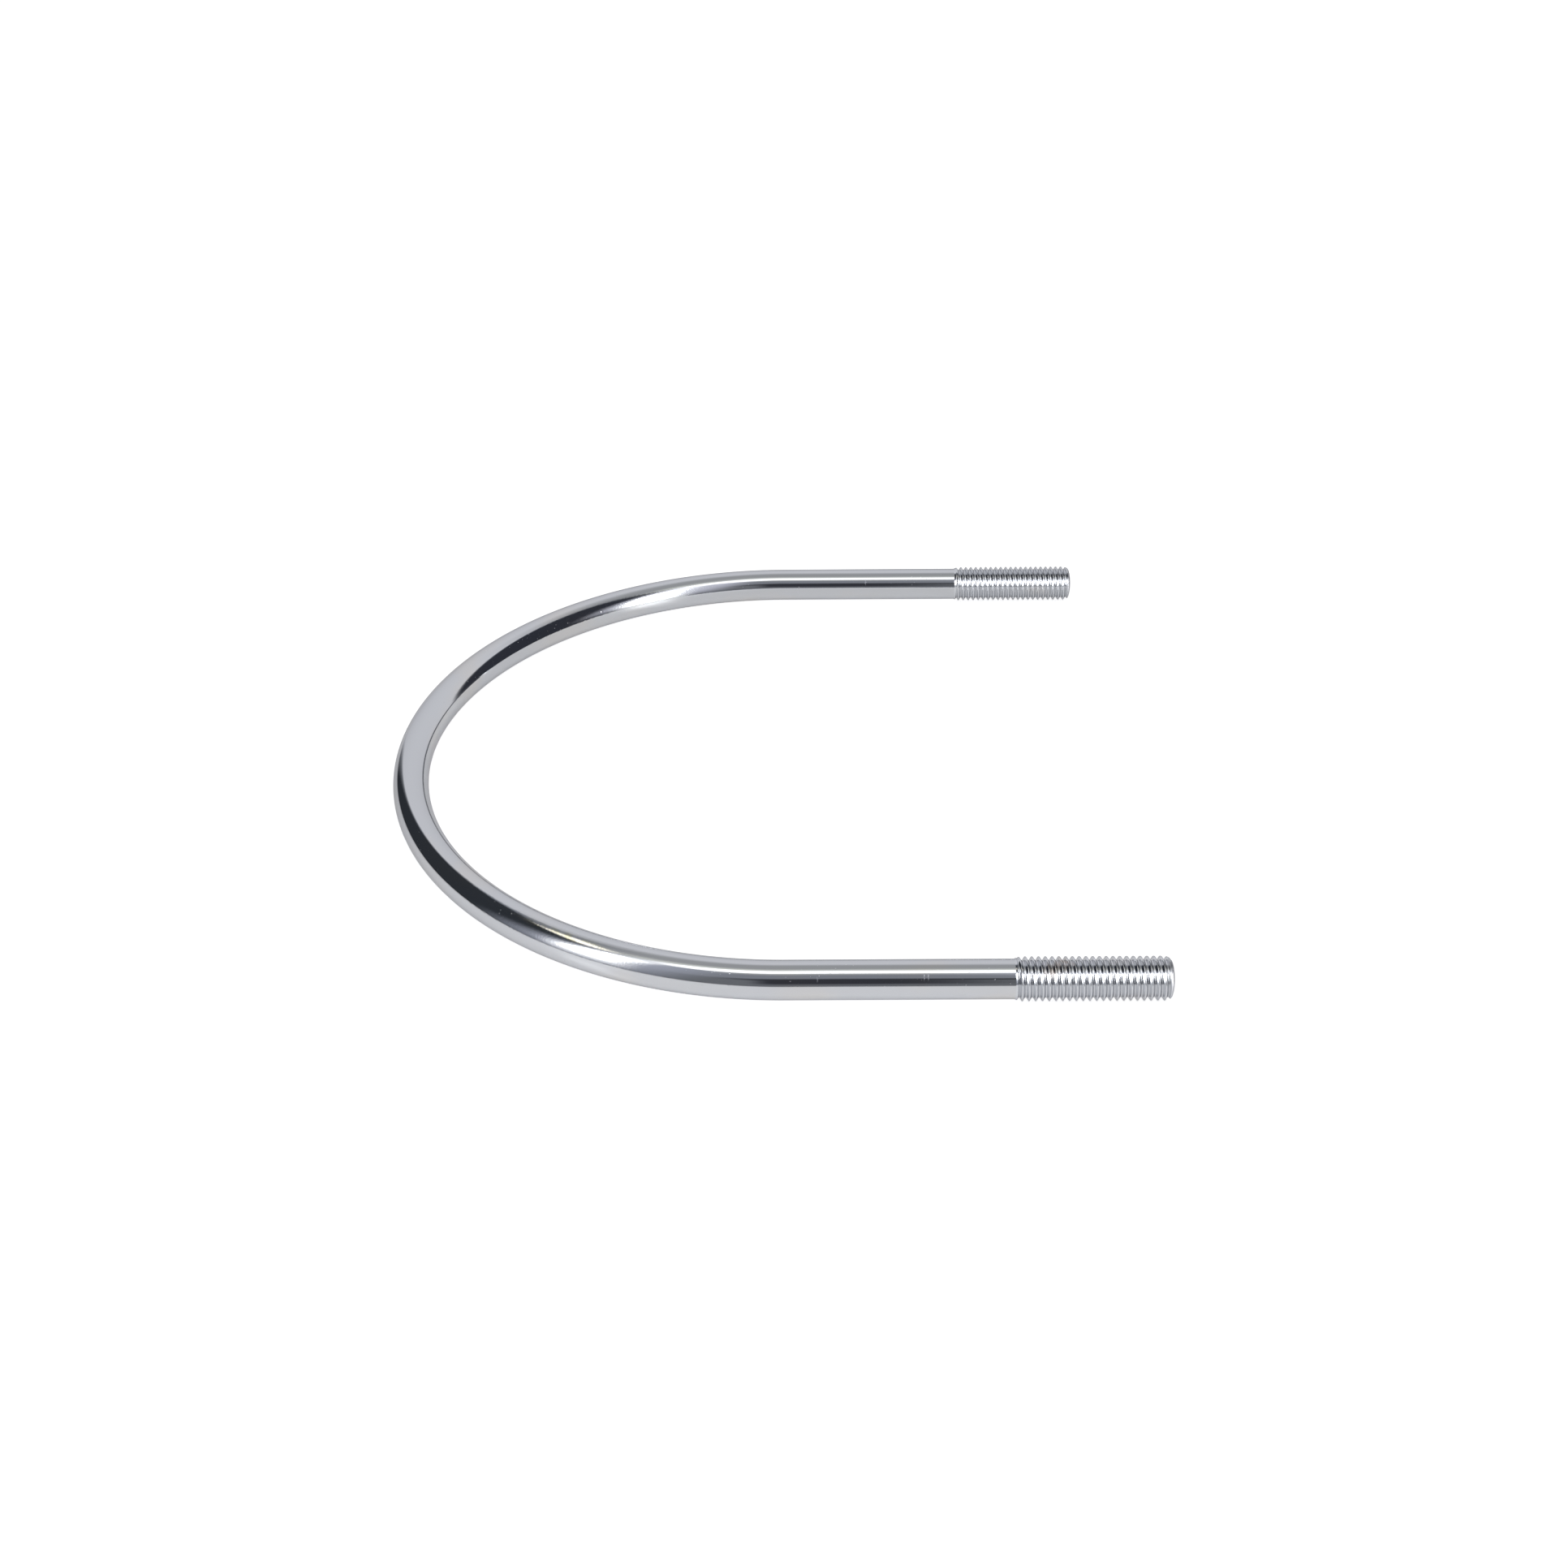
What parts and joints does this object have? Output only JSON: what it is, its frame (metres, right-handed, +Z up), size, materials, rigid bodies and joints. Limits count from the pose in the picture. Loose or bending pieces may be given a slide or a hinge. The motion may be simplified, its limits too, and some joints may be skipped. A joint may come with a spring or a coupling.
{
  "type": "u-bolt",
  "caption": "Round steel bar bent to a U, with a half-circle bow, straight legs and a metric thread on each end, for clamping a pipe or post to a plate.",
  "frame": {"origin": "middle of the footprint of the bolt lying flat, at its lowest point", "axes": "+X along the legs towards the threaded tips, +Y across to the left leg, +Z up, square to the plane of the U"},
  "size_m": [0.187, 0.203, 0.01],
  "materials": {
    "plain_bar": "bright zinc plated steel, mirror smooth",
    "rolled_thread": "bright zinc plated steel, rolled thread"
  },
  "bodies": {
    "root": {"bow": "plain_bar", "left_leg": "plain_bar", "right_leg": "plain_bar", "left_thread": "rolled_thread", "right_thread": "rolled_thread"}
  },
  "joints": []
}
